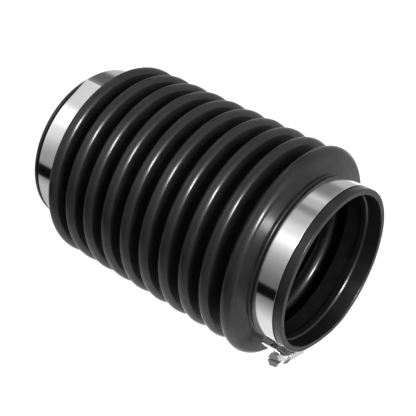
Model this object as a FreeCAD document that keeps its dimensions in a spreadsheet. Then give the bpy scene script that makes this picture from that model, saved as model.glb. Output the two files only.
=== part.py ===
import FreeCAD, Part

# A rubber bellows boot with a worm-drive clamp on each cuff, in millimetres.
# The boot stands on its rear cuff: the origin is the centre of the rear mouth, and +Z runs along
# the boot's axis to the front mouth. Each clamp is built in a frame of its own, on the boot's axis
# at the middle of the band, with +X through its housing and its screw head towards -Y.

import math
import os

import Sketcher

SIZES = [
    ("fold_count", 10),
    ("fold_pitch", 15.7),
    ("crest_radius", 67.4),
    ("crest_round", 4.0),
    ("front_fold_pitch", 17.3),
    ("front_crest_radius", 68.6),
    ("front_crest_round", 4.7),
    ("root_radius", 54.0),
    ("root_round", 2.6),
    ("fold_wall", 2.6),
    ("front_reach", 29.6),
    ("rear_reach", 30.8),
    ("bore_radius", 50.0),
    ("cuff_wall", 3.0),
    ("foot_wall", 2.3),
    ("channel_width", 17.1),
    ("front_lip", 5.6),
    ("rear_lip", 4.0),
    ("lip_height", 0.75),
    ("rim_round", 0.8),
    ("mouth_round", 0.5),
    ("bead_depth", 9.4),
    ("bead_width", 5.2),
    ("bead_height", 1.0),
    ("bead_slope", 0.9),
    ("band_width", 14.2),
    ("band_thickness", 0.7),
    ("band_seat_gap", 0.05),
    ("band_offset", 1.1),
    ("fixed_end_angle", 50.0),
    ("step_angle", 64.7),
    ("step_height", 3.25),
    ("step_round", 4.0),
    ("strap_lift", 3.2),
    ("strap_bend", 12.0),
    ("tail_round", 29.6),
    ("tail_length", 25.0),
    ("tail_taper", 3.5),
    ("slot_pitch", 3.2),
    ("slot_width", 1.3),
    ("slot_length", 8.4),
    ("slot_lean", 0.6),
    ("housing_length", 17.0),
    ("housing_wall", 0.8),
    ("housing_gap", 0.1),
    ("end_wall", 1.2),
    ("worm_radius", 4.5),
    ("worm_root", 3.5),
    ("worm_clearance", 0.4),
    ("thread_tip", 0.8),
    ("thread_base", 1.7),
    ("thread_margin", 0.1),
    ("journal_radius", 2.4),
    ("journal_clearance", 0.05),
    ("collar_radius", 4.5),
    ("collar_length", 1.8),
    ("collar_gap", 0.3),
    ("head_flats", 8.0),
    ("head_length", 8.4),
    ("driver_slot", 1.5),
    ("driver_depth", 2.2),
    ("front_clamp_turn", 26.0),
    ("rear_clamp_turn", 162.0),
]

doc = FreeCAD.newDocument("bellows_boot")
sheet = doc.addObject("Spreadsheet::Sheet", "sizes")
for row, (alias, size) in enumerate(SIZES, start=1):
    sheet.set(f"A{row}", alias)
    sheet.set(f"B{row}", str(size))
    sheet.setAlias(f"B{row}", alias)
doc.recompute()

# Sizes that follow from the driving ones, as expressions of the sheet.
FRONT_FOLD_LEVEL = "(sizes.rear_reach + (sizes.fold_count - 2) * sizes.fold_pitch)"
LAST_CREST_LEVEL = f"({FRONT_FOLD_LEVEL} + sizes.front_fold_pitch)"
LENGTH = f"({LAST_CREST_LEVEL} + sizes.front_reach)"
CHANNEL_RADIUS = "(sizes.bore_radius + sizes.cuff_wall)"
LIP_RADIUS = f"({CHANNEL_RADIUS} + sizes.lip_height)"
ROOT_AXIS = "(sizes.root_radius + sizes.root_round)"
BAND_RADIUS = f"({CHANNEL_RADIUS} + sizes.band_seat_gap)"
BAND_OUTER = f"({BAND_RADIUS} + sizes.band_thickness)"
RAISED_RADIUS = f"({BAND_RADIUS} + sizes.step_height)"
SADDLE_RADIUS = f"({BAND_OUTER} + sizes.band_seat_gap)"
STRAP_LEVEL = f"({BAND_OUTER} + sizes.strap_lift)"
STRAP_TOP = f"({STRAP_LEVEL} + sizes.band_thickness)"
TUNNEL_FLOOR = f"({STRAP_TOP} + 2 * sizes.housing_gap)"
SCREW_LEVEL = f"({STRAP_TOP} + sizes.worm_clearance + sizes.worm_radius)"
TUNNEL_RADIUS = "(sizes.worm_radius + sizes.worm_clearance)"
ARCH_RADIUS = f"({TUNNEL_RADIUS} + sizes.housing_wall)"
STRAP_HALF = "(sizes.band_width / 2 + sizes.housing_gap)"
HOUSING_HALF = f"({STRAP_HALF} + sizes.housing_wall)"
TUNNEL_ROOF = f"({TUNNEL_FLOOR} + sizes.housing_wall)"
HOUSING_END = "(sizes.housing_length / 2)"
CLEAR_END = f"({HOUSING_END} + sizes.collar_gap)"
TAIL_ANGLE = "(sizes.tail_length / sizes.tail_round * 180 / pi)"
COLLAR_FACE = f"({CLEAR_END} + sizes.collar_length)"
HEAD_FACE = f"({COLLAR_FACE} + sizes.head_length)"
WORM_HALF = f"({HOUSING_END} - sizes.end_wall - sizes.collar_gap)"
FRONT_BAND_LEVEL = f"({LENGTH} - sizes.front_lip - sizes.channel_width / 2 + sizes.band_offset)"
REAR_BAND_LEVEL = "(sizes.rear_lip + sizes.channel_width / 2 - sizes.band_offset)"
HEXAGON_CORNERS = range(30, 390, 60)
ZERO = 1e-9
EDGE_TOLERANCE = 1e-3


def number(expression):
    """The present value of an expression of the sheet."""
    return float(sheet.evalExpression(str(expression)))


def origin_feature(body, role):
    return next(feature for feature in body.Origin.OriginFeatures if feature.Role == role)


class Element:
    """A line or arc of an outline, with its first and last point in the order of travel."""

    def __init__(self, index, first, last, first_end, last_end):
        self.index = index
        self.first = first
        self.last = last
        self.first_end = first_end
        self.last_end = last_end


class Outline:
    """A sketch on one of a body's origin planes, whose points and radii are bound to the sizes."""

    def __init__(self, body, name, role, lift=None):
        self.sketch = body.newObject("Sketcher::SketchObject", name)
        self.sketch.AttachmentSupport = [(origin_feature(body, role), "")]
        self.sketch.MapMode = "FlatFace"
        if lift:
            self.sketch.AttachmentOffset = FreeCAD.Placement(
                FreeCAD.Vector(0, 0, number(lift)), FreeCAD.Rotation()
            )
            self.sketch.setExpression("AttachmentOffset.Base.z", lift)

    def bind(self, kind, *place, size):
        """Adds a dimension that follows an expression."""
        constraint = Sketcher.Constraint(kind, *place, number(size))
        index = self.sketch.addConstraint(constraint)
        self.sketch.setExpression(f"Constraints[{index}]", str(size))

    def pin(self, index, end, x=None, y=None):
        """Holds a point of an element at given distances from the sketch's axes."""
        for kind, axis, size in (("DistanceX", -2, x), ("DistanceY", -1, y)):
            if size is None:
                continue
            if abs(number(size)) < ZERO:
                self.sketch.addConstraint(Sketcher.Constraint("PointOnObject", index, end, axis))
            elif number(size) > 0:
                self.bind(kind, -1, 1, index, end, size=size)
            else:
                self.bind(kind, index, end, -1, 1, size=f"-({size})")

    def line(self, start, end, construction=False):
        segment = Part.LineSegment(FreeCAD.Vector(*start, 0), FreeCAD.Vector(*end, 0))
        index = self.sketch.addGeometry(segment, construction)
        return Element(index, start, end, 1, 2)

    def arc(self, centre, radius, start_angle, end_angle, held=True):
        """An arc about a centre given as expressions, from one angle to another in radians. The
        centre of an arc that isn't held follows from its neighbours."""
        x, y, r = number(centre[0]), number(centre[1]), number(radius)
        circle = Part.Circle(FreeCAD.Vector(x, y, 0), FreeCAD.Vector(0, 0, 1), r)
        low, high = min(start_angle, end_angle), max(start_angle, end_angle)
        index = self.sketch.addGeometry(Part.ArcOfCircle(circle, low, high), False)
        if held:
            self.pin(index, 3, *centre)
        self.bind("Radius", index, size=radius)
        first = (x + r * math.cos(start_angle), y + r * math.sin(start_angle))
        last = (x + r * math.cos(end_angle), y + r * math.sin(end_angle))
        ends = (1, 2) if start_angle < end_angle else (2, 1)
        return Element(index, first, last, *ends)

    def circle(self, x, y, radius):
        centre = FreeCAD.Vector(number(x), number(y), 0)
        ring = Part.Circle(centre, FreeCAD.Vector(0, 0, 1), number(radius))
        index = self.sketch.addGeometry(ring, False)
        self.pin(index, 3, x, y)
        self.bind("Radius", index, size=radius)

    def join(self, before, after):
        place = (before.index, before.last_end, after.index, after.first_end)
        self.sketch.addConstraint(Sketcher.Constraint("Coincident", *place))

    def smooth(self, before, after):
        place = (before.index, before.last_end, after.index, after.first_end)
        self.sketch.addConstraint(Sketcher.Constraint("Tangent", *place))

    def tangent_line(self, before, after):
        """The straight run between two arcs, tangent to both."""
        run = self.line(before.last, after.first)
        self.smooth(before, run)
        self.smooth(run, after)
        return run

    def polyline(self, points, before=None, after=None, smooth_start=False, smooth_end=False):
        """Straight runs through points given as expressions, joined to the elements at its ends."""
        places = [(number(x), number(y)) for x, y in points]
        runs = []
        if before:
            runs.append(self.line(before.last, places[0]))
            (self.smooth if smooth_start else self.join)(before, runs[0])
        for start, end in zip(places, places[1:]):
            runs.append(self.line(start, end))
        if after:
            runs.append(self.line(places[-1], after.first))
            (self.smooth if smooth_end else self.join)(runs[-1], after)
        for one, following in zip(runs, runs[1:]):
            self.join(one, following)
        held = runs[:-1] if after else runs
        targets = points if before else points[1:]
        if not before:
            self.pin(runs[0].index, 1, *points[0])
        for run, (x, y) in zip(held, targets):
            self.pin(run.index, run.last_end, x, y)
        return runs

    def polygon(self, points):
        """A closed outline of straight sides through points given as expressions."""
        places = [(number(x), number(y)) for x, y in points]
        sides = [self.line(a, b) for a, b in zip(places, places[1:] + places[:1])]
        for side, following in zip(sides, sides[1:] + sides[:1]):
            self.join(side, following)
        for side, (x, y) in zip(sides, points):
            self.pin(side.index, 1, x, y)


def new_body(label):
    body = doc.addObject("PartDesign::Body", label)
    body.Label = label
    return body


def revolve(body, outline, name, axis=None):
    turned = body.newObject("PartDesign::Revolution", name)
    turned.Profile = outline.sketch
    turned.ReferenceAxis = axis or (origin_feature(body, "Z_Axis"), [""])
    turned.Angle = 360
    return turned


def pad(body, outline, name, length, symmetric=False, reverse=False):
    block = body.newObject("PartDesign::Pad", name)
    block.Profile = outline.sketch
    block.Length = number(length)
    block.setExpression("Length", length)
    block.SideType = "Symmetric" if symmetric else "One side"
    block.Reversed = reverse
    return block


def pocket(body, outline, name, length=None, symmetric=False, reverse=False):
    cut = body.newObject("PartDesign::Pocket", name)
    cut.Profile = outline.sketch
    if length:
        cut.Length = number(length)
        cut.setExpression("Length", length)
    else:
        cut.Type = "ThroughAll"
    cut.SideType = "Symmetric" if symmetric else "One side"
    cut.Reversed = reverse
    return cut


def repeat(body, kind, name, original, count):
    """A pattern of a feature, which becomes the body's tip."""
    pattern = body.newObject(f"PartDesign::{kind}", name)
    pattern.Originals = [original]
    pattern.Occurrences = int(number(count))
    pattern.setExpression("Occurrences", count)
    body.Tip = pattern
    return pattern


# The boot: its folds are one turned section, repeated along the axis. The front fold is wider and
# its crest higher, where the folds meet the front cuff.


class Crest:
    """A crest of the folds: its round, the level of its middle and how far out its arc's centre is."""

    def __init__(self, radius, crest_round, level):
        self.round = crest_round
        self.level = level
        self.axis = f"({radius} - {crest_round})"


def fold_crest(level):
    return Crest("sizes.crest_radius", "sizes.crest_round", level)


FIRST_CREST = fold_crest("sizes.rear_reach")
SECOND_CREST = fold_crest("(sizes.rear_reach + sizes.fold_pitch)")
FRONT_FOLD_CREST = fold_crest(FRONT_FOLD_LEVEL)
LAST_CREST = Crest("sizes.front_crest_radius", "sizes.front_crest_round", LAST_CREST_LEVEL)


def flank_turn(across, along, rounds):
    """The angle that a crest's arc turns before its straight flank starts. The flank leads to a
    point this far across and along, or touches an arc about it whose radius is part of rounds."""
    x, y = number(across), number(along)
    return math.atan2(y, x) - math.acos(number(rounds) / math.hypot(x, y))


def fold_face(outline, depth, first, last):
    """One face of a fold from crest to crest, at a depth below the outer face."""
    half_pitch = f"(({last.level} - {first.level}) / 2)"
    first_turn, last_turn = [
        flank_turn(f"{ROOT_AXIS} - {crest.axis}", half_pitch, f"{crest.round} + sizes.root_round")
        for crest in (first, last)
    ]
    root_centre = (ROOT_AXIS, f"({first.level} + {half_pitch})")
    root_round = f"(sizes.root_round + {depth})"
    first_arc = outline.arc((first.axis, first.level), f"({first.round} - {depth})", 0, first_turn)
    root = outline.arc(root_centre, root_round, math.pi + first_turn, math.pi - last_turn)
    last_arc = outline.arc((last.axis, last.level), f"({last.round} - {depth})", -last_turn, 0)
    outline.tangent_line(first_arc, root)
    outline.tangent_line(root, last_arc)
    outline.pin(first_arc.index, first_arc.first_end, y=first.level)
    outline.pin(last_arc.index, last_arc.last_end, y=last.level)
    return first_arc, last_arc


def fold_section(body, name, first, last):
    """The wall of one fold, from the middle of its first crest to the middle of its last."""
    outline = Outline(body, name, "XZ_Plane")
    outer_first, outer_last = fold_face(outline, "0", first, last)
    inner_first, inner_last = fold_face(outline, "sizes.fold_wall", first, last)
    low_side = outline.line(outer_first.first, inner_first.first)
    high_side = outline.line(outer_last.last, inner_last.last)
    for side, outer, outer_end, inner, inner_end in (
        (low_side, outer_first, outer_first.first_end, inner_first, inner_first.first_end),
        (high_side, outer_last, outer_last.last_end, inner_last, inner_last.last_end),
    ):
        for end, arc, arc_end in ((1, outer, outer_end), (2, inner, inner_end)):
            place = (side.index, end, arc.index, arc_end)
            outline.sketch.addConstraint(Sketcher.Constraint("Coincident", *place))
    return outline


def cuff_section(body, name, crest, reach, lip, front):
    """The outer half of an end crest and the cuff, with levels counted from the cuff's mouth."""
    outline = Outline(body, name, "XZ_Plane")
    facing = 1 if front else -1

    def level(depth):
        return f"({LENGTH} - ({depth}))" if front else f"({depth})"

    crest_centre = (crest.axis, crest.level)
    channel_end = f"({lip} + sizes.channel_width)"
    outer_turn = flank_turn(f"{CHANNEL_RADIUS} - {crest.axis}", f"{reach} - {channel_end}", crest.round)
    outer_arc = outline.arc(crest_centre, crest.round, 0, facing * outer_turn)

    bore_end = f"({channel_end} + sizes.foot_wall)"
    inner_round = f"({crest.round} - sizes.fold_wall)"
    inner_turn = flank_turn(f"sizes.bore_radius - {crest.axis}", f"{reach} - {bore_end}", inner_round)
    inner_arc = outline.arc(crest_centre, inner_round, facing * inner_turn, 0)

    rim_centre = (f"({LIP_RADIUS} - sizes.rim_round)", level("sizes.rim_round"))
    rim = outline.arc(rim_centre, "sizes.rim_round", 0, facing * math.pi / 2)
    mouth_centre = ("(sizes.bore_radius + sizes.mouth_round)", level("sizes.mouth_round"))
    mouth = outline.arc(mouth_centre, "sizes.mouth_round", facing * math.pi / 2, facing * math.pi)

    # The flank, the clamp's channel and the lip.
    channel = [
        (CHANNEL_RADIUS, level(channel_end)),
        (CHANNEL_RADIUS, level(lip)),
        (LIP_RADIUS, level(lip)),
    ]
    outline.polyline(channel, before=outer_arc, after=rim, smooth_start=True)
    outline.tangent_line(rim, mouth)

    # The bore with its sealing bead.
    bead_radius = "(sizes.bore_radius - sizes.bead_height)"
    bead_end = "sizes.bead_depth + sizes.bead_width"
    bore = [
        ("sizes.bore_radius", level("sizes.bead_depth")),
        (bead_radius, level("sizes.bead_depth + sizes.bead_slope")),
        (bead_radius, level(f"{bead_end} - sizes.bead_slope")),
        ("sizes.bore_radius", level(bead_end)),
        ("sizes.bore_radius", level(bore_end)),
    ]
    outline.polyline(bore, before=mouth, after=inner_arc, smooth_end=True)

    crest_middle = outline.line(inner_arc.last, outer_arc.first)
    outline.join(inner_arc, crest_middle)
    outline.join(crest_middle, outer_arc)
    for arc, end, level_of_end in (
        (outer_arc, outer_arc.first_end, crest.level),
        (inner_arc, inner_arc.last_end, crest.level),
        (rim, rim.first_end, rim_centre[1]),
        (mouth, mouth.last_end, mouth_centre[1]),
    ):
        outline.pin(arc.index, end, y=level_of_end)
    return outline


def make_boot():
    body = new_body("bellows_boot")
    fold = revolve(body, fold_section(body, "fold_section", FIRST_CREST, SECOND_CREST), "fold")
    folds = repeat(body, "LinearPattern", "folds", fold, "sizes.fold_count - 2")
    folds.Direction = (origin_feature(body, "Z_Axis"), [""])
    folds.setExpression("Length", "(sizes.fold_count - 3) * sizes.fold_pitch")
    front_fold = fold_section(body, "front_fold_section", FRONT_FOLD_CREST, LAST_CREST)
    revolve(body, front_fold, "front_fold")
    for end, crest in (("rear", FIRST_CREST), ("front", LAST_CREST)):
        reach, lip = f"sizes.{end}_reach", f"sizes.{end}_lip"
        cuff = cuff_section(body, f"{end}_cuff_section", crest, reach, lip, front=end == "front")
        revolve(body, cuff, f"{end}_cuff")
    return body


# The clamps. Each part is made in its clamp's own frame and then seated on the boot.


def seat(body, level, turn):
    """Puts a clamp's part at its level on the boot's axis, turned about that axis."""
    turned = FreeCAD.Rotation(FreeCAD.Vector(0, 0, 1), number(turn))
    body.Placement = FreeCAD.Placement(FreeCAD.Vector(0, 0, number(level)), turned)
    body.setExpression("Placement.Base.z", level)
    body.setExpression("Placement.Rotation.Angle", f"{turn} * 1 deg")


def draw_step(outline, depth):
    """The two rounds by which the strip rises from the cuff to its raised run."""
    foot_round = f"(sizes.step_round + sizes.band_thickness - {depth})"
    crown_round = f"(sizes.step_round + {depth})"
    start = math.radians(number("sizes.step_angle"))
    foot_away = number(f"{BAND_RADIUS} + sizes.step_round + sizes.band_thickness")
    crown_away = number(f"{RAISED_RADIUS} - sizes.step_round")
    apart = number("2 * sizes.step_round + sizes.band_thickness")
    squares = foot_away ** 2 + crown_away ** 2 - apart ** 2
    end = start - math.acos(squares / (2 * foot_away * crown_away))
    foot_centre = (foot_away * math.cos(start), foot_away * math.sin(start))
    crown_centre = (crown_away * math.cos(end), crown_away * math.sin(end))
    slope = math.atan2(foot_centre[1] - crown_centre[1], foot_centre[0] - crown_centre[0])
    foot = outline.arc(foot_centre, foot_round, start + math.pi, slope + math.pi, held=False)
    crown = outline.arc(crown_centre, crown_round, slope, end, held=False)
    return foot, crown, end


def band_face(outline, depth):
    """One face of the strip: the turn round the cuff, the step up to the raised run, the flat run
    through the housing and the tail."""
    bend = (f"({STRAP_LEVEL} - sizes.strap_bend)", CLEAR_END)
    across, along = number(bend[0]), number(bend[1])
    shortfall = number(f"{RAISED_RADIUS} - sizes.strap_bend")
    rise = math.atan2(along, across) + math.acos(shortfall / math.hypot(across, along))
    fixed_end = math.radians(number("sizes.fixed_end_angle"))
    step_start = math.radians(number("sizes.step_angle"))
    turn_radius = f"({BAND_RADIUS} + {depth})"
    turn_arc = outline.arc(("0", "0"), turn_radius, fixed_end, step_start - 2 * math.pi)
    foot, crown, step_end = draw_step(outline, depth)
    raised_arc = outline.arc(("0", "0"), f"({RAISED_RADIUS} + {depth})", step_end, rise)
    bend_arc = outline.arc(bend, f"(sizes.strap_bend + {depth})", rise, 0)
    tail = (f"({STRAP_LEVEL} - sizes.tail_round)", f"-{CLEAR_END}")
    tail_radius = f"(sizes.tail_round + {depth})"
    tail_arc = outline.arc(tail, tail_radius, 0, -math.radians(number(TAIL_ANGLE)))
    for before, after in ((turn_arc, foot), (foot, crown), (crown, raised_arc)):
        outline.smooth(before, after)
    outline.tangent_line(raised_arc, bend_arc)
    outline.tangent_line(bend_arc, tail_arc)
    outline.pin(turn_arc.index, turn_arc.first_end, y=f"{turn_radius} * sin(sizes.fixed_end_angle)")
    outline.pin(turn_arc.index, turn_arc.last_end, y=f"{turn_radius} * sin(sizes.step_angle)")
    tail_drop = (tail_arc.index, tail_arc.last_end, tail_arc.index, 3)
    outline.bind("DistanceY", *tail_drop, size=f"{tail_radius} * sin({TAIL_ANGLE})")
    return turn_arc, tail_arc


def taper_tail(body, strip):
    """Cuts off the two corners of the strip's tail. Of the short edges through the strip, those of
    the tail lie furthest towards -Y."""
    doc.recompute()
    corners = []
    for index, edge in enumerate(strip.Shape.Edges, start=1):
        if abs(edge.Length - number("sizes.band_thickness")) < EDGE_TOLERANCE:
            corners.append((edge.CenterOfMass.y, f"Edge{index}"))
    taper = body.newObject("PartDesign::Chamfer", "tail_taper")
    taper.Base = (strip, [name for y, name in sorted(corners)[:2]])
    taper.Size = number("sizes.tail_taper")
    taper.setExpression("Size", "sizes.tail_taper")


def cut_slot(body, name, place):
    """One worm slot through the strap alone, drawn between the band and the strap."""
    gap_middle = f"{STRAP_LEVEL} - sizes.strap_lift / 2"
    outline = Outline(body, f"{name}_section", "YZ_Plane", lift=gap_middle)
    corners = []
    for side, end in ((-1, -1), (1, -1), (1, 1), (-1, 1)):
        along = f"({place} + {side} * sizes.slot_width / 2 + {end} * sizes.slot_lean)"
        corners.append((along, f"({end} * sizes.slot_length / 2)"))
    outline.polygon(corners)
    return pocket(body, outline, name, length="sizes.strap_lift * 2", reverse=True)


def make_band(label):
    body = new_body(label)
    outline = Outline(body, "strip_section", "XY_Plane")
    inner_turn, inner_tail = band_face(outline, "0")
    outer_turn, outer_tail = band_face(outline, "sizes.band_thickness")
    fixed_end = outline.line(inner_turn.first, outer_turn.first)
    tail_end = outline.line(inner_tail.last, outer_tail.last)
    for cap, end, arc, arc_end in (
        (fixed_end, 1, inner_turn, inner_turn.first_end),
        (fixed_end, 2, outer_turn, outer_turn.first_end),
        (tail_end, 1, inner_tail, inner_tail.last_end),
        (tail_end, 2, outer_tail, outer_tail.last_end),
    ):
        place = (cap.index, end, arc.index, arc_end)
        outline.sketch.addConstraint(Sketcher.Constraint("Coincident", *place))
    strip = pad(body, outline, "strip", "sizes.band_width", symmetric=True)
    taper_tail(body, strip)

    tail_axis = body.newObject("Sketcher::SketchObject", "tail_axis")
    tail_axis.AttachmentSupport = [(origin_feature(body, "XY_Plane"), "")]
    tail_axis.MapMode = "FlatFace"
    tail_axis.setExpression("AttachmentOffset.Base.x", f"{STRAP_LEVEL} - sizes.tail_round")
    tail_axis.setExpression("AttachmentOffset.Base.y", f"-{CLEAR_END}")
    tail_slot = cut_slot(body, "tail_slot", f"-{CLEAR_END}")
    slots_on_tail = "floor(sizes.tail_length / sizes.slot_pitch)"
    tail_slots = repeat(body, "PolarPattern", "tail_slots", tail_slot, slots_on_tail)
    tail_slots.Axis = (tail_axis, ["N_Axis"])
    tail_slots.Reversed = True
    turn_of_slots = f"({slots_on_tail} - 1) * sizes.slot_pitch / sizes.tail_round * 180 / pi * 1 deg"
    tail_slots.setExpression("Angle", turn_of_slots)

    flat_slot = cut_slot(body, "flat_slot", f"-{CLEAR_END} + sizes.slot_pitch")
    slots_on_flat = f"floor(2 * {CLEAR_END} / sizes.slot_pitch)"
    flat_slots = repeat(body, "LinearPattern", "flat_slots", flat_slot, slots_on_flat)
    flat_slots.Direction = (origin_feature(body, "Y_Axis"), [""])
    flat_slots.setExpression("Length", f"({slots_on_flat} - 1) * sizes.slot_pitch")
    return body


def arch_section(body, name, radius, points):
    """An arch about the screw, closed through points at its foot."""
    outline = Outline(body, name, "XZ_Plane")
    arch = outline.arc((SCREW_LEVEL, "0"), radius, math.pi / 2, -math.pi / 2)
    foot = [(level, f"-{half}") for level, half in points]
    foot += [(level, half) for level, half in reversed(points)]
    outline.polyline(foot, before=arch, after=arch, smooth_start=True, smooth_end=True)
    return outline


def make_housing(label):
    body = new_body(label)
    foot_level = f"({BAND_RADIUS} - sizes.band_thickness)"
    shell_foot = [(TUNNEL_ROOF, ARCH_RADIUS), (TUNNEL_ROOF, HOUSING_HALF), (foot_level, HOUSING_HALF)]
    shell = arch_section(body, "shell_section", ARCH_RADIUS, shell_foot)
    pad(body, shell, "shell", "sizes.housing_length", symmetric=True)

    saddle = Outline(body, "saddle_section", "XY_Plane")
    saddle.circle("0", "0", SADDLE_RADIUS)
    pocket(body, saddle, "saddle", length=f"4 * {HOUSING_HALF}", symmetric=True)

    strap_way = Outline(body, "strap_section", "XZ_Plane")
    strap_floor = f"({STRAP_LEVEL} - sizes.housing_gap)"
    corners = [(strap_floor, -1), (TUNNEL_FLOOR, -1), (TUNNEL_FLOOR, 1), (strap_floor, 1)]
    strap_way.polygon([(level, f"({side} * {STRAP_HALF})") for level, side in corners])
    pocket(body, strap_way, "strap_way", length="2 * sizes.housing_length", symmetric=True)

    tunnel = arch_section(body, "tunnel_section", TUNNEL_RADIUS, [(STRAP_LEVEL, TUNNEL_RADIUS)])
    tunnel_length = "sizes.housing_length - 2 * sizes.end_wall"
    pocket(body, tunnel, "tunnel", length=tunnel_length, symmetric=True)

    journals = Outline(body, "journal_section", "XZ_Plane")
    journals.circle(SCREW_LEVEL, "0", "(sizes.journal_radius + sizes.journal_clearance)")
    pocket(body, journals, "journals", length="2 * sizes.housing_length", symmetric=True)
    return body


def draw_screw_axis(outline):
    """A construction line along the screw's axis, the first in its sketch."""
    ends = ("0", "sizes.housing_length")
    axis = outline.line(*[(number(SCREW_LEVEL), number(end)) for end in ends], construction=True)
    outline.pin(axis.index, 1, x=SCREW_LEVEL, y=ends[0])
    outline.pin(axis.index, 2, x=SCREW_LEVEL, y=ends[1])


def shank_section(body):
    """Half the collar, neck, worm core and tip, seen from the side."""
    outline = Outline(body, "shank_section", "XY_Plane")
    draw_screw_axis(outline)
    steps = [
        ("0", f"-{COLLAR_FACE}"),
        ("sizes.collar_radius", f"-{COLLAR_FACE}"),
        ("sizes.collar_radius", f"-{CLEAR_END}"),
        ("sizes.journal_radius", f"-{CLEAR_END}"),
        ("sizes.journal_radius", f"-{WORM_HALF}"),
        ("sizes.worm_root", f"-{WORM_HALF}"),
        ("sizes.worm_root", WORM_HALF),
        ("sizes.journal_radius", WORM_HALF),
        ("sizes.journal_radius", CLEAR_END),
        ("0", CLEAR_END),
    ]
    outline.polygon([(f"({SCREW_LEVEL} + {radius})", along) for radius, along in steps])
    return outline


def make_screw(label):
    body = new_body(label)
    shank = shank_section(body)
    revolve(body, shank, "shank", axis=(shank.sketch, ["Axis0"]))

    thread = Outline(body, "thread_section", "XY_Plane")
    draw_screw_axis(thread)
    start = f"(-{WORM_HALF} + sizes.thread_base / 2 + sizes.thread_margin)"
    root = "(sizes.worm_root - sizes.thread_margin)"
    corners = [(root, "thread_base", -1), ("sizes.worm_radius", "thread_tip", -1)]
    corners += [("sizes.worm_radius", "thread_tip", 1), (root, "thread_base", 1)]
    flanks = []
    for radius, width, side in corners:
        flanks.append((f"({SCREW_LEVEL} + {radius})", f"({start} + {side} * sizes.{width} / 2)"))
    thread.polygon(flanks)
    worm = body.newObject("PartDesign::AdditiveHelix", "worm")
    worm.Profile = thread.sketch
    worm.ReferenceAxis = (thread.sketch, ["Axis0"])
    worm.Mode = "pitch-height-angle"
    worm.setExpression("Pitch", "sizes.slot_pitch")
    worm.setExpression("Height", f"2 * {WORM_HALF} - sizes.thread_base - 2 * sizes.thread_margin")

    head = Outline(body, "head_section", "XZ_Plane", lift=COLLAR_FACE)
    corner_reach = "(sizes.head_flats / 2 / cos(30))"
    head.polygon([
        (
            f"({SCREW_LEVEL} + {corner_reach} * cos({angle}))",
            f"({corner_reach} * sin({angle}))",
        )
        for angle in HEXAGON_CORNERS
    ])
    pad(body, head, "head", "sizes.head_length")

    driver = Outline(body, "driver_section", "XZ_Plane", lift=HEAD_FACE)
    corners = ((-1, -1), (1, -1), (1, 1), (-1, 1))
    driver.polygon([
        (f"({SCREW_LEVEL} + {across} * sizes.driver_slot / 2)", f"({along} * sizes.head_flats)")
        for across, along in corners
    ])
    pocket(body, driver, "driver_slot", length="sizes.driver_depth")
    return body


def make_parts():
    parts = [make_boot()]
    for end, level in (("front", FRONT_BAND_LEVEL), ("rear", REAR_BAND_LEVEL)):
        clamp = [
            make_band(f"{end}_clamp_band"),
            make_housing(f"{end}_clamp_housing"),
            make_screw(f"{end}_clamp_screw"),
        ]
        for body in clamp:
            seat(body, level, f"sizes.{end}_clamp_turn")
        parts += clamp
    return parts


def check(parts):
    """Stops if any object failed or any part has no sound solid."""
    failed = [item.Name for item in doc.Objects if {"Invalid", "Error"} & set(item.State)]
    if failed:
        raise RuntimeError(f"objects that failed: {failed}")
    for body in parts:
        shape = body.Shape
        if shape.isNull() or not shape.isValid() or len(shape.Solids) != 1:
            raise RuntimeError(f"{body.Label} has no sound solid")


parts = make_parts()
doc.recompute()
check(parts)
os.makedirs("parts", exist_ok=True)
for body in parts:
    body.Shape.exportStep(f"parts/{body.Label}.step")
    print(body.Label, round(body.Shape.Volume, 1), len(body.Shape.Faces), "faces")
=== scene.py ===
import math

import bmesh
import bpy
from mathutils import Matrix, Vector


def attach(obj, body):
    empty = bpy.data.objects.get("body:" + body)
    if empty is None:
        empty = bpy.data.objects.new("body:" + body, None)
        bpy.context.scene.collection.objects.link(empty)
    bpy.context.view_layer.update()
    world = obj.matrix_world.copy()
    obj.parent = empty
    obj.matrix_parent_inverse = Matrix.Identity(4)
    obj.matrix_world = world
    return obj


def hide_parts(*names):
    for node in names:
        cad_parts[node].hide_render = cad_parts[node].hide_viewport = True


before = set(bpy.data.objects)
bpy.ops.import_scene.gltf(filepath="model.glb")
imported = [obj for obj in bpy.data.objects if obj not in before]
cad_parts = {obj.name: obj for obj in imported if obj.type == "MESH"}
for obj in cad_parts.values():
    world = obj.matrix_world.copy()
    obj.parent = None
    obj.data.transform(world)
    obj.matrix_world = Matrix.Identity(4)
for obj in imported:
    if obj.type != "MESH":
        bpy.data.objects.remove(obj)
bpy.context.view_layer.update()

# Sizes are in millimetres here, and metres in the scene.
MM = 0.001

# The boot, as in the frame.
LENGTH = 203.3
FOLD_COUNT = 10
FOLD_PITCH, FRONT_FOLD_PITCH = 15.7, 17.3
REAR_REACH, FRONT_REACH = 30.8, 29.6
CREST_RADIUS, CREST_ROUND = 67.4, 4.0
FRONT_CREST_RADIUS, FRONT_CREST_ROUND = 68.6, 4.7
ROOT_RADIUS, ROOT_ROUND = 54.0, 2.6
WALL, FOOT_WALL = 2.6, 2.3
BORE_RADIUS = 50.0
CHANNEL_RADIUS, CHANNEL_WIDTH = 53.0, 17.1
LIP_RADIUS = 53.75
FRONT_LIP, REAR_LIP = 5.6, 4.0
FRONT_RIM_ROUND, MOUTH_ROUND = 0.8, 0.5
BEAD_DEPTH, BEAD_WIDTH, BEAD_HEIGHT, BEAD_SLOPE = 9.4, 5.2, 1.0, 0.9

# Where the boot's surface leaves the frame's: a rounder rear rim, lips that stand further off the
# bands, and a small round in each corner.
REAR_RIM_ROUND = 1.6
LIP_BACK = 0.9
LIP_CORNER, CHANNEL_CORNER, FOOT_CORNER, INNER_CORNER = 0.15, 0.1, 0.9, 0.35

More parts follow.
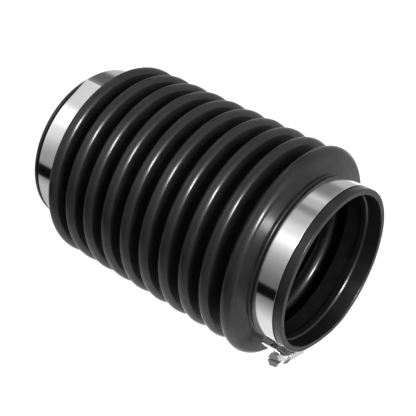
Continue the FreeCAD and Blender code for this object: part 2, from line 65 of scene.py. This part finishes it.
# How far the photograph's front lip is pulled out of round, by the angle round the axis in degrees.
LIP_PULL = [
    (-20, 0.0), (10, -0.9), (29, -1.56), (39, -1.17), (54, 0.43), (63, 1.5), (85, 1.68),
    (104, 1.4), (132, 0.7), (163, 0.23), (190, 0.0), (340, 0.0),
]

# The boot's mesh round its axis, and the flash on its folds where the mould's halves met.
TURNS = 176
PARTING_TURNS = (55.0, 235.0)
FLASH_STEPS = (-0.9, -0.28, 0, 0.28, 0.9)
FLASH_CLEAR = 1.1
FLASH_FOOT, FLASH_HEIGHT = 62.0, 0.18

# The clamps, each in a frame of its own on the boot's axis, with +X through its housing and its
# screw towards -Y. Each has the level of its band's middle and its turn about the axis.
CLAMPS = {"front": (190.25, 26.0), "rear": (11.45, 162.0)}
BAND_RADIUS, BAND_THICKNESS, BAND_HALF = 53.05, 0.7, 7.1
FIXED_END = 50.0
CREASE_ANGLE, CREASE_LIFT, CREASE_ROUND = 67.6, 2.85, 4.0
STRAP_LEVEL, STRAP_BEND, STRAP_HALF_RUN = 56.95, 12.0, 8.8
TAIL_ROUND, TAIL_LENGTH, TAIL_TAPER = 29.6, 25.0, 3.5
SLOT_PITCH, SLOT_WIDTH, SLOT_HALF, SLOT_LEAN = 3.2, 1.3, 4.2, 0.6
SLOT_COUNT, SLOTS_BEFORE_TAIL = 12, 5
EDGE_ROUND = 0.26
SCREW_LEVEL = 62.55
SCREW_REST_TURN = -12.0

# The strip's mesh: how near its other rows come to a slot or to the taper, and the points of its
# section at a slot's ends, on its inner face and then on its outer face.
SLOT_MARGIN, TAPER_MARGIN = 0.25, 0.1
SLOT_CORNERS = (8, 9, 18, 19)
SAME_PLACE = 0.0001

# The rounds on the housings and screws, and what counts there as one point, as flat and as an edge.
HOUSING_ROUND, SCREW_ROUND = 0.3, 0.22
WELD, FLAT_ANGLE, EDGE_ANGLE = 0.005, 1.0, 40


# The boot's section.


def arc(centre, radius, start, end, steps):
    """Points (radius, depth) of an arc, by angles in degrees from outwards towards the mouth."""
    points = []
    for step in range(steps + 1):
        angle = math.radians(start + (end - start) * step / steps)
        across, along = radius * math.cos(angle), radius * math.sin(angle)
        points.append((centre[0] + across, centre[1] - along))
    return points


def touch_angle(centre, radius, point):
    """The angle on an arc, in degrees, at which a line from a point touches it."""
    across, along = point[0] - centre[0], centre[1] - point[1]
    return math.degrees(math.atan2(along, across) - math.acos(radius / math.hypot(across, along)))


def eased(points, corner, amount):
    """A corner of the outline replaced by three points of a small round."""
    here = points[corner]
    ends = []
    for other in (points[corner - 1], points[corner + 1]):
        across, along = other[0] - here[0], other[1] - here[1]
        share = amount / math.hypot(across, along)
        ends.append((here[0] + across * share, here[1] + along * share))
    middle = tuple((ends[0][i] + ends[1][i]) / 4 + here[i] / 2 for i in range(2))
    return [ends[0], middle, ends[1]]


def cuff_outer(lip, reach, crest_radius, crest_round, rim_round):
    """The outer face from the mouth to the middle of the end crest, as (radius, depth)."""
    crest = (crest_radius - crest_round, reach)
    mouth = arc((BORE_RADIUS + MOUTH_ROUND, MOUTH_ROUND), MOUTH_ROUND, 180, 90, 4)
    rim = arc((LIP_RADIUS - rim_round, rim_round), rim_round, 90, 0, 6)
    root = (CHANNEL_RADIUS, lip + CHANNEL_WIDTH)
    inner_face = lip - LIP_BACK
    corners = [rim[-1], (LIP_RADIUS, inner_face), (CHANNEL_RADIUS, inner_face), root]
    step = eased(corners, 1, LIP_CORNER) + eased(corners, 2, CHANNEL_CORNER)
    round_over = arc(crest, crest_round, touch_angle(crest, crest_round, root), 0, 12)
    foot = eased([step[-1], root, round_over[0]], 1, FOOT_CORNER)
    return mouth + rim + step + foot + round_over


def cuff_inner(lip, reach, crest_radius, crest_round):
    """The inner face from the middle of the end crest to the mouth, as (radius, depth)."""
    crest = (crest_radius - crest_round, reach)
    inner_round = crest_round - WALL
    seat = (BORE_RADIUS, lip + CHANNEL_WIDTH + FOOT_WALL)
    hollow = arc(crest, inner_round, 0, touch_angle(crest, inner_round, seat), 6)
    bead = BORE_RADIUS - BEAD_HEIGHT
    bead_end = BEAD_DEPTH + BEAD_WIDTH
    corners = [
        hollow[-1],
        seat,
        (BORE_RADIUS, bead_end),
        (bead, bead_end - BEAD_SLOPE),
        (bead, BEAD_DEPTH + BEAD_SLOPE),
        (BORE_RADIUS, BEAD_DEPTH),
        (BORE_RADIUS, MOUTH_ROUND),
    ]
    points = list(hollow)
    for corner in range(1, len(corners) - 1):
        points += eased(corners, corner, INNER_CORNER)
    return points


def crests():
    """The folds' crests from the rear, each as (middle of its round, height, round)."""
    alike = [
        (CREST_RADIUS - CREST_ROUND, REAR_REACH + i * FOLD_PITCH, CREST_ROUND)
        for i in range(FOLD_COUNT - 1)
    ]
    front_height = alike[-1][1] + FRONT_FOLD_PITCH
    return alike + [(FRONT_CREST_RADIUS - FRONT_CREST_ROUND, front_height, FRONT_CREST_ROUND)]


def flank_angle(crest, root):
    """The angle that a crest's round turns before the straight flank to the root's round."""
    across, along = root[0] - crest[0], abs(root[1] - crest[1])
    rounds = crest[2] + ROOT_ROUND
    return math.degrees(math.atan2(along, across) - math.acos(rounds / math.hypot(across, along)))


def folds(depth, crest_steps, root_steps):
    """One face of the folds between the first and the last crest, as (radius, height)."""
    points = []
    for low, high in zip(crests(), crests()[1:]):
        root = (ROOT_RADIUS + ROOT_ROUND, (low[1] + high[1]) / 2)
        first, last = flank_angle(low, root), flank_angle(high, root)
        points += arc(low, low[2] - depth, 0, -first, crest_steps)[1:]
        points += arc(root, ROOT_ROUND + depth, 180 - first, 180 + last, root_steps)
        points += arc(high, high[2] - depth, last, 0, crest_steps)
    return points[:-1]


def boot_outline():
    """The boot's closed section in (radius, height), outer face first."""
    rear = (REAR_LIP, REAR_REACH, CREST_RADIUS, CREST_ROUND)
    front = (FRONT_LIP, FRONT_REACH, FRONT_CREST_RADIUS, FRONT_CREST_ROUND)
    front_faces = cuff_outer(*front, FRONT_RIM_ROUND)[::-1], cuff_inner(*front)
    front_outer, front_inner = (
        [(radius, LENGTH - depth) for radius, depth in face] for face in front_faces
    )
    outer = cuff_outer(*rear, REAR_RIM_ROUND) + folds(0, 7, 9) + front_outer
    inner = cuff_inner(*rear)[::-1] + folds(WALL, 3, 8) + front_inner
    return outer + inner[::-1]


def turn_angles():
    """Angles round the axis in degrees, with extra ones across the mould's parting lines."""
    angles = []
    for step in range(TURNS):
        angle = 360 * step / TURNS
        if min(abs(angle - parting) for parting in PARTING_TURNS) > FLASH_CLEAR:
            angles.append(angle)
    angles += [parting + shift for parting in PARTING_TURNS for shift in FLASH_STEPS]
    return sorted(angles)


def flash(angle, radius):
    """The height of the moulding flash on a parting line."""
    if angle not in PARTING_TURNS or radius < FLASH_FOOT:
        return 0.0
    return FLASH_HEIGHT * (radius - FLASH_FOOT) / (CREST_RADIUS - FLASH_FOOT)


def pull(angle, height):
    """How far the front lip stands out of round."""
    share = min(max((height - (LENGTH - FRONT_LIP)) / FRONT_LIP, 0.0), 1.0)
    if angle > LIP_PULL[-1][0]:
        angle -= 360
    for (low, before), (high, after) in zip(LIP_PULL, LIP_PULL[1:]):
        if low <= angle <= high:
            way = (angle - low) / (high - low)
            return share * (before + (after - before) * way * way * (3 - 2 * way))
    return 0.0


# The strip's path, in its clamp's frame.


def heading(angle):
    """A unit vector at an angle in radians."""
    return Vector((math.cos(angle), math.sin(angle)))


def strip_path():
    """The strip's inner face as (distance along, place, outward direction), from its fixed end.

    It goes once round the cuff, leaves it in a straight line to a crease, runs on a raised arc,
    bends to pass flat through the housing and ends in a curved tail.
    """
    raised = BAND_RADIUS + CREASE_LIFT
    crease = math.radians(CREASE_ANGLE)
    crease_reach = raised - CREASE_ROUND
    leave = crease + math.acos((BAND_RADIUS - CREASE_ROUND) / crease_reach)
    bend = Vector((STRAP_LEVEL - STRAP_BEND, STRAP_HALF_RUN))
    rise = math.atan2(bend.y, bend.x) + math.acos((raised - STRAP_BEND) / bend.length)
    tail = Vector((STRAP_LEVEL - TAIL_ROUND, -STRAP_HALF_RUN))
    axis = Vector((0, 0))
    # Each arc's middle, radius, first and last angle, and steps. Straight runs join them.
    runs = [
        (axis, BAND_RADIUS, math.radians(FIXED_END), leave - 2 * math.pi, 170),
        (heading(crease) * crease_reach, CREASE_ROUND, leave, crease, 8),
        (axis, raised, crease, rise, 20),
        (bend, STRAP_BEND, rise, 0.0, 10),
        (tail, TAIL_ROUND, 0.0, -TAIL_LENGTH / TAIL_ROUND, 24),
    ]
    path = []
    for centre, radius, start, end, steps in runs:
        for step in range(steps + 1):
            out = heading(start + (end - start) * step / steps)
            place = centre + out * radius
            if not path:
                path.append((0.0, place, out))
                continue
            gap = (place - path[-1][1]).length
            if gap > SAME_PLACE:
                path.append((path[-1][0] + gap, place, out))
    return path


def on_path(path, distance):
    """The place and outward direction at a distance along the strip."""
    distance = min(max(distance, 0.0), path[-1][0])
    for (low, place, out), (high, next_place, next_out) in zip(path, path[1:]):
        if distance <= high:
            share = (distance - low) / (high - low)
            return place.lerp(next_place, share), out.lerp(next_out, share).normalized()
    return path[-1][1], path[-1][2]


def strip_section(half):
    """Points (across, outwards) round the strip's section, with SLOT_CORNERS among them."""
    points = []
    for side, start in ((1, 90), (1, 0), (-1, 270), (-1, 180)):
        level = BAND_THICKNESS - EDGE_ROUND if start in (90, 180) else EDGE_ROUND
        for step in range(4):
            angle = math.radians(start - 30 * step)
            across = side * (half - EDGE_ROUND) + EDGE_ROUND * math.cos(angle)
            points.append((across, level + EDGE_ROUND * math.sin(angle)))
    slot = min(SLOT_HALF, half - 2 * EDGE_ROUND)
    inner = [(slot, 0.0), (-slot, 0.0)]
    outer = [(-slot, BAND_THICKNESS), (slot, BAND_THICKNESS)]
    return points[:8] + inner + points[8:] + outer


def strip_rows(path):
    """The rows of the strip's mesh as (distance along, 1 at a slot's side and else 0)."""
    length = path[-1][0]
    first_slot = length - TAIL_LENGTH - SLOTS_BEFORE_TAIL * SLOT_PITCH
    slots = [first_slot + i * SLOT_PITCH for i in range(SLOT_COUNT)]
    taper = length - TAIL_TAPER
    rows = []
    for distance, _, _ in path:
        slot_gap = min(abs(distance - slot) for slot in slots)
        if slot_gap > SLOT_WIDTH / 2 + SLOT_MARGIN and distance < taper - TAPER_MARGIN:
            rows.append((distance, 0.0))
    rows += [(slot + side * SLOT_WIDTH / 2, 1.0) for slot in slots for side in (-1, 1)]
    rows += [(taper, 0.0), (length, 0.0)]
    return sorted(rows)


# Meshes.


def piece(name, build, sharp=35):
    """An object with a mesh that is smooth up to an angle, its normals led by its larger faces."""
    mesh = bpy.data.meshes.new(name)
    build.to_mesh(mesh)
    build.free()
    mesh.shade_smooth()
    mesh.set_sharp_from_angle(angle=math.radians(sharp))
    made = bpy.data.objects.new(name, mesh)
    bpy.context.scene.collection.objects.link(made)
    weighted = made.modifiers.new("weighted", "WEIGHTED_NORMAL")
    weighted.keep_sharp = True
    weighted.weight = 90
    return made


def make_boot():
    """The boot, as its section turned round the Z axis."""
    outline = boot_outline()
    build = bmesh.new()
    rings = []
    for angle in turn_angles():
        across, along = math.cos(math.radians(angle)), math.sin(math.radians(angle))
        ring = []
        for radius, height in outline:
            reach = radius + flash(angle, radius) + pull(angle, height)
            spot = Vector((reach * across, reach * along, height)) * MM
            ring.append(build.verts.new(spot))
        rings.append(ring)
    for ring, following in zip(rings, rings[1:] + rings[:1]):
        for i in range(len(ring)):
            j = (i + 1) % len(ring)
            build.faces.new((ring[i], following[i], following[j], ring[j]))
    bmesh.ops.recalc_face_normals(build, faces=build.faces)
    return piece("moulded_boot", build, sharp=45)


def make_strip(end):
    """A clamp's band: one strip with rounded edges, a tapered tail and slots for the worm."""
    level, turn = CLAMPS[end]
    turned = Matrix.Rotation(math.radians(turn), 3, "Z")
    lift = Vector((0, 0, level * MM))
    path = strip_path()
    length = path[-1][0]
    rows = strip_rows(path)
    build = bmesh.new()
    rings = []
    for distance, leaning in rows:
        half = BAND_HALF - max(0.0, TAIL_TAPER - (length - distance))
        ring = []
        for across, out in strip_section(half):
            lean = leaning * SLOT_LEAN * across / SLOT_HALF if abs(across) <= SLOT_HALF else 0.0
            place, outward = on_path(path, distance + lean)
            spot = place + outward * out
            ring.append(build.verts.new(turned @ Vector((spot.x, spot.y, across)) * MM + lift))
        rings.append(ring)
    inner_start, inner_end, outer_start, outer_end = SLOT_CORNERS
    walls = ((inner_start, outer_end), (outer_start, inner_end))
    for i, (ring, following) in enumerate(zip(rings, rings[1:])):
        (distance, leaning), (next_distance, next_leaning) = rows[i : i + 2]
        near = next_distance - distance < SLOT_WIDTH + SLOT_MARGIN
        is_slot = leaning and next_leaning and near
        for j in range(len(ring)):
            k = (j + 1) % len(ring)
            if not (is_slot and j in (inner_start, outer_start)):
                build.faces.new((ring[j], following[j], following[k], ring[k]))
        if is_slot:
            for one, other in walls:
                build.faces.new((ring[one], ring[other], following[other], following[one]))
            for side in (ring, following):
                build.faces.new([side[corner] for corner in SLOT_CORNERS])
    build.faces.new(rings[0])
    build.faces.new(rings[-1])
    bmesh.ops.recalc_face_normals(build, faces=build.faces)
    return piece(f"{end}_strip", build, sharp=40)


def softened(node, name, width):
    """A copy of a CAD node's mesh with its sharp edges rounded."""
    build = bmesh.new()
    build.from_mesh(node.data)
    build.transform(node.matrix_world)
    bmesh.ops.remove_doubles(build, verts=build.verts, dist=WELD * MM)
    flat = math.radians(FLAT_ANGLE)
    bmesh.ops.dissolve_limit(build, angle_limit=flat, verts=build.verts, edges=build.edges)
    sharp = [
        edge
        for edge in build.edges
        if edge.is_manifold and edge.calc_face_angle() > math.radians(EDGE_ANGLE)
    ]
    bmesh.ops.bevel(
        build,
        geom=sharp,
        offset=width * MM,
        segments=2,
        profile=0.5,
        affect="EDGES",
        clamp_overlap=True,
    )
    bmesh.ops.recalc_face_normals(build, faces=build.faces)
    return piece(name, build, sharp=50)


def spin_on_axis(end, angle):
    """A turn about a clamp's screw, in degrees."""
    level, turn = CLAMPS[end]
    turned = Matrix.Rotation(math.radians(turn), 3, "Z")
    place = turned @ Vector((SCREW_LEVEL, 0, 0)) * MM + Vector((0, 0, level * MM))
    there = Matrix.Translation(place)
    spin = Matrix.Rotation(math.radians(angle), 4, turned @ Vector((0, 1, 0)))
    return there @ spin @ there.inverted()


# Materials.

# The part of its range that a noise texture mostly keeps to.
NOISE_LOW, NOISE_HIGH = 0.3, 0.7
# How open a spot is, from 0 to 1, where the painted shade in slots and narrow gaps is full and
# where it ends.
FULL_SHADE_OPENNESS, NO_SHADE_OPENNESS = 0.2, 0.6
# The colour of the painted shade at its darkest, deep in slots and narrow gaps.
PAINTED_SHADE_COLOUR = (0.03, 0.03, 0.03, 1)


def new_material(name):
    material = bpy.data.materials.new(name)
    material.use_nodes = True
    tree = material.node_tree
    return material, tree, tree.nodes["Principled BSDF"]


def add(tree, kind, **settings):
    node = tree.nodes.new(kind)
    for key, value in settings.items():
        setattr(node, key, value)
    return node


def noise(tree, scale, detail, stretch=(1, 1, 1)):
    """A noise texture over the object's own coordinates."""
    place = add(tree, "ShaderNodeTexCoord")
    mapping = add(tree, "ShaderNodeMapping")
    mapping.inputs["Scale"].default_value = stretch
    tree.links.new(place.outputs["Object"], mapping.inputs["Vector"])
    texture = add(tree, "ShaderNodeTexNoise")
    texture.inputs["Scale"].default_value = scale
    texture.inputs["Detail"].default_value = detail
    tree.links.new(mapping.outputs["Vector"], texture.inputs["Vector"])
    return texture.outputs["Fac"]


def spread(tree, factor, low, high, from_low=NOISE_LOW, from_high=NOISE_HIGH):
    """A factor mapped to a range of values."""
    node = add(tree, "ShaderNodeMapRange")
    node.inputs["From Min"].default_value = from_low
    node.inputs["From Max"].default_value = from_high
    node.inputs["To Min"].default_value = low
    node.inputs["To Max"].default_value = high
    tree.links.new(factor, node.inputs["Value"])
    return node.outputs["Result"]


def shade(tree, factor, low, high):
    """A factor mapped to a colour between two greys."""
    ramp = add(tree, "ShaderNodeValToRGB")
    stops = ((NOISE_LOW, low), (NOISE_HIGH, high))
    for element, (position, colour) in zip(ramp.color_ramp.elements, stops):
        element.position = position
        element.color = (*colour, 1)
    tree.links.new(factor, ramp.inputs["Fac"])
    return ramp.outputs["Color"]


def painted_recess_shade(tree, colour, distance):
    """A colour darkened by its ambient occlusion in slots and narrow gaps: painted shade."""
    hollow = add(tree, "ShaderNodeAmbientOcclusion", samples=8)
    hollow.inputs["Distance"].default_value = distance
    openness = spread(tree, hollow.outputs["AO"], 0.0, 1.0, from_low=FULL_SHADE_OPENNESS, from_high=NO_SHADE_OPENNESS)
    mix = add(tree, "ShaderNodeMix", data_type="RGBA")
    tree.links.new(openness, mix.inputs["Factor"])
    # A mix node's colour sockets come after its number and vector ones, under the same names.
    first, second, result = mix.inputs[6], mix.inputs[7], mix.outputs[2]
    # Painted shade: the colour that a closed-in spot turns to.
    first.default_value = PAINTED_SHADE_COLOUR
    tree.links.new(colour, second)
    return result


def bump(tree, shader, height, distance, strength):
    node = add(tree, "ShaderNodeBump")
    node.inputs["Distance"].default_value = distance
    node.inputs["Strength"].default_value = strength
    tree.links.new(height, node.inputs["Height"])
    tree.links.new(node.outputs["Normal"], shader.inputs["Normal"])


def rubber():
    """Black rubber with a thin shine, patchy in colour and sheen, with a fine grain."""
    material, tree, shader = new_material("rubber")
    shader.inputs["IOR"].default_value = 1.5
    shader.inputs["Specular IOR Level"].default_value = 0.15
    shader.inputs["Coat Weight"].default_value = 0.6
    patches = noise(tree, 60, 4)
    colour = shade(tree, patches, (0.0026, 0.0026, 0.0026), (0.0062, 0.0062, 0.0064))
    tree.links.new(colour, shader.inputs["Base Color"])
    cloudy = noise(tree, 160, 5)
    tree.links.new(spread(tree, cloudy, 0.46, 0.66), shader.inputs["Roughness"])
    tree.links.new(spread(tree, cloudy, 0.13, 0.25), shader.inputs["Coat Roughness"])
    bump(tree, shader, noise(tree, 2200, 2), 0.00002, 0.35)
    return material


def steel(name, colour, low, high, hollow, anisotropic=0.0):
    """Steel with a grain round the boot's axis, a span of roughness and painted shade in its slots
    and narrow gaps.
    """
    material, tree, shader = new_material(name)
    shader.inputs["Metallic"].default_value = 1.0
    grain = noise(tree, 900, 3, stretch=(0.15, 0.15, 6.0))
    light = tuple(min(1.0, part * 1.06) for part in colour)
    unshaded_colour = shade(tree, grain, colour, light)
    # Painted shade: the base colour darkens in slots and narrow gaps, as far as hollow reaches.
    tree.links.new(painted_recess_shade(tree, unshaded_colour, hollow), shader.inputs["Base Color"])
    tree.links.new(spread(tree, grain, low, high), shader.inputs["Roughness"])
    shader.inputs["Anisotropic"].default_value = anisotropic
    if anisotropic:
        tangent = add(tree, "ShaderNodeTangent", direction_type="RADIAL", axis="Z")
        tree.links.new(tangent.outputs["Tangent"], shader.inputs["Tangent"])
    bump(tree, shader, grain, 0.000004, 0.5)
    return material


# The camera stands where the photograph's camera stood, rolled so that the boot leans across the
# frame.

PHOTO_WIDTH = 416
FOCAL_PIXELS = 951.07
SENSOR_WIDTH = 36.0
CAMERA_PLACE = Vector((0.0, -528.612, 411.708)) * MM
CAMERA_RIGHT = Vector((-0.46470598, 0.44395515, 0.76612804))
CAMERA_UP = Vector((-0.88546317, -0.23121508, -0.40310613))
CAMERA_AHEAD = Vector((0.00182069, 0.865704, -0.50055297))


def make_camera():
    data = bpy.data.cameras.new("camera")
    data.sensor_fit = "HORIZONTAL"
    data.sensor_width = SENSOR_WIDTH
    data.lens = SENSOR_WIDTH * FOCAL_PIXELS / PHOTO_WIDTH
    data.clip_start, data.clip_end = 0.01, 20.0
    camera = bpy.data.objects.new("camera", data)
    columns = Matrix((CAMERA_RIGHT, CAMERA_UP, -CAMERA_AHEAD)).transposed()
    camera.matrix_world = Matrix.Translation(CAMERA_PLACE) @ columns.to_4x4()
    bpy.context.scene.collection.objects.link(camera)
    bpy.context.scene.camera = camera


# The studio: a world of glowing panels and dark flags for light and reflections, white to the
# camera. Some panels reach below the horizon, because the photograph's bands mirror light there.

SOFT_BOXES = [
    # azimuth, elevation, half width, half height, blur, strength, tilt
    (251, 62, 5, 11, 3, 58.0, 0),
    (247, 58, 18.3, 22, 9, 1.2, 0),
    (258, 16, 22.8, 52, 12, 0.45, 0),
    (261, -28, 6.4, 9, 5, 0.5, 0),
    (193, -27, 2.5, 8, 4, 0.27, 0),
    (33, 7, 26.7, 38, 14, 0.44, 0),
    (79, -20, 15.7, 20, 12, 1.46, 0),
    (111, -15, 6, 17, 10, 1.21, 0),
    (223, -49, 30.1, 16, 9, 0.4, 0),
    (283, -51, 32.9, 10, 9, 0.95, 0),
    (262, 39, 8.4, 13, 9, 1.49, 0),
]
FLAGS = [
    # azimuth, elevation, half width, half height, blur, share held back, tilt
    (336, -31, 7.2, 24, 0.6, 0.99, 21),
    (331, -8, 20.2, 61, 14, 0.66, 0),
    (215, -25, 5.2, 7, 4, 0.51, 0),
    (168, -34, 14, 12, 7, 0.76, 0),
    (360, 51, 16.6, 28, 9, 0.61, 0),
    (304, 4, 14.7, 60, 12, 0.43, 0),
    (180, -88, 38, 38, 12, 0.5, 0),
]
ROOM_LEVEL = 0.64

# The floor's own light to the camera, and its share of what the camera sees there. Together with
# the light that falls on it they read as white, and as grey under the part.
FLOOR_GLOW, FLOOR_GLOW_SHARE = 1.12, 0.86
FLOOR_HALF = 4.0


def math_node(tree, operation, first, second=None):
    """A calculation with numbers or sockets."""
    node = add(tree, "ShaderNodeMath", operation=operation)
    for socket, value in zip(node.inputs, (first, second)):
        if isinstance(value, (int, float)):
            socket.default_value = value
        elif value is not None:
            tree.links.new(value, socket)
    return node.outputs["Value"]


def dot(tree, vector, axis):
    node = add(tree, "ShaderNodeVectorMath", operation="DOT_PRODUCT")
    node.inputs[1].default_value = axis
    tree.links.new(vector, node.inputs[0])
    return node.outputs["Value"]


def soft_edge(tree, value, half, blur):
    """1 inside a half width, falling to 0 over the blur beyond it."""
    node = add(tree, "ShaderNodeMapRange", interpolation_type="SMOOTHSTEP")
    node.inputs["From Min"].default_value = half + blur
    node.inputs["From Max"].default_value = half - blur
    tree.links.new(math_node(tree, "ABSOLUTE", value), node.inputs["Value"])
    return node.outputs["Result"]


def soft_box(tree, view, azimuth, elevation, width, height, blur, strength, tilt):
    """A glowing panel at infinity, by the angles of its middle and its half sizes in degrees."""
    turn, rise, roll = (math.radians(angle) for angle in (azimuth, elevation, tilt))
    level = Vector((math.cos(turn), math.sin(turn), 0))
    ahead = level * math.cos(rise) + Vector((0, 0, math.sin(rise)))
    side = Vector((-math.sin(turn), math.cos(turn), 0))
    over = ahead.cross(side)
    across = side * math.cos(roll) + over * math.sin(roll)
    along = over * math.cos(roll) - side * math.sin(roll)
    depth = math_node(tree, "MAXIMUM", dot(tree, view, ahead), 0.001)
    fade = math.tan(math.radians(blur))
    edges = []
    for axis, half in ((across, width), (along, height)):
        offset = math_node(tree, "DIVIDE", dot(tree, view, axis), depth)
        edges.append(soft_edge(tree, offset, math.tan(math.radians(half)), fade))
    return math_node(tree, "MULTIPLY", math_node(tree, "MULTIPLY", *edges), strength)


def make_world():
    world = bpy.data.worlds.new("studio")
    bpy.context.scene.world = world
    world.use_nodes = True
    tree = world.node_tree
    background = tree.nodes["Background"]
    view = add(tree, "ShaderNodeTexCoord").outputs["Generated"]
    total = ROOM_LEVEL
    for box in SOFT_BOXES:
        total = math_node(tree, "ADD", soft_box(tree, view, *box), total)
    for flag in FLAGS:
        kept = math_node(tree, "SUBTRACT", 1.0, soft_box(tree, view, *flag))
        total = math_node(tree, "MULTIPLY", total, kept)
    to_camera = add(tree, "ShaderNodeLightPath").outputs["Is Camera Ray"]
    studio = math_node(tree, "MULTIPLY", total, math_node(tree, "SUBTRACT", 1.0, to_camera))
    strength = math_node(tree, "ADD", studio, to_camera)
    tree.links.new(strength, background.inputs["Strength"])
    background.inputs["Color"].default_value = (1, 1, 1, 1)


def make_floor():
    build = bmesh.new()
    bmesh.ops.create_grid(build, x_segments=1, y_segments=1, size=FLOOR_HALF)
    floor = piece("floor", build)
    material, tree, shader = new_material("floor")
    shader.inputs["Base Color"].default_value = (0.9, 0.9, 0.9, 1)
    shader.inputs["Roughness"].default_value = 0.9
    glow = add(tree, "ShaderNodeEmission")
    glow.inputs["Strength"].default_value = FLOOR_GLOW
    mix = add(tree, "ShaderNodeMixShader")
    to_camera = add(tree, "ShaderNodeLightPath").outputs["Is Camera Ray"]
    glow_share = math_node(tree, "MULTIPLY", to_camera, FLOOR_GLOW_SHARE)
    tree.links.new(glow_share, mix.inputs[0])
    tree.links.new(shader.outputs["BSDF"], mix.inputs[1])
    tree.links.new(glow.outputs["Emission"], mix.inputs[2])
    tree.links.new(mix.outputs["Shader"], tree.nodes["Material Output"].inputs["Surface"])
    floor.data.materials.append(material)
    floor.visible_glossy = False


make_camera()
make_world()
make_floor()

boot = make_boot()
boot.data.materials.append(rubber())
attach(boot, "boot")
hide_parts("bellows_boot")

# The distance after each steel's roughness span is how far its painted shade in slots and gaps
# reaches, in metres.
band_steel = steel("band_steel", (0.66, 0.66, 0.665), 0.08, 0.13, 0.005, anisotropic=0.3)
housing_steel = steel("housing_steel", (0.88, 0.88, 0.88), 0.24, 0.34, 0.0015)
screw_steel = steel("screw_steel", (0.94, 0.94, 0.94), 0.3, 0.42, 0.0022)
for end in CLAMPS:
    nodes = {part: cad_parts[f"{end}_clamp_{part}"] for part in ("housing", "screw")}
    screw = softened(nodes["screw"], f"{end}_turned_screw", SCREW_ROUND)
    screw.data.transform(spin_on_axis(end, SCREW_REST_TURN))
    strip = make_strip(end)
    housing = softened(nodes["housing"], f"{end}_pressed_housing", HOUSING_ROUND)
    dressed = [
        ("band", "boot", strip, band_steel),
        ("housing", "boot", housing, housing_steel),
        ("screw", f"{end}_screw", screw, screw_steel),
    ]
    for part, body, made, material in dressed:
        made.data.materials.append(material)
        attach(made, body)
        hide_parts(f"{end}_clamp_{part}")

bpy.context.scene.view_settings.view_transform = "Standard"
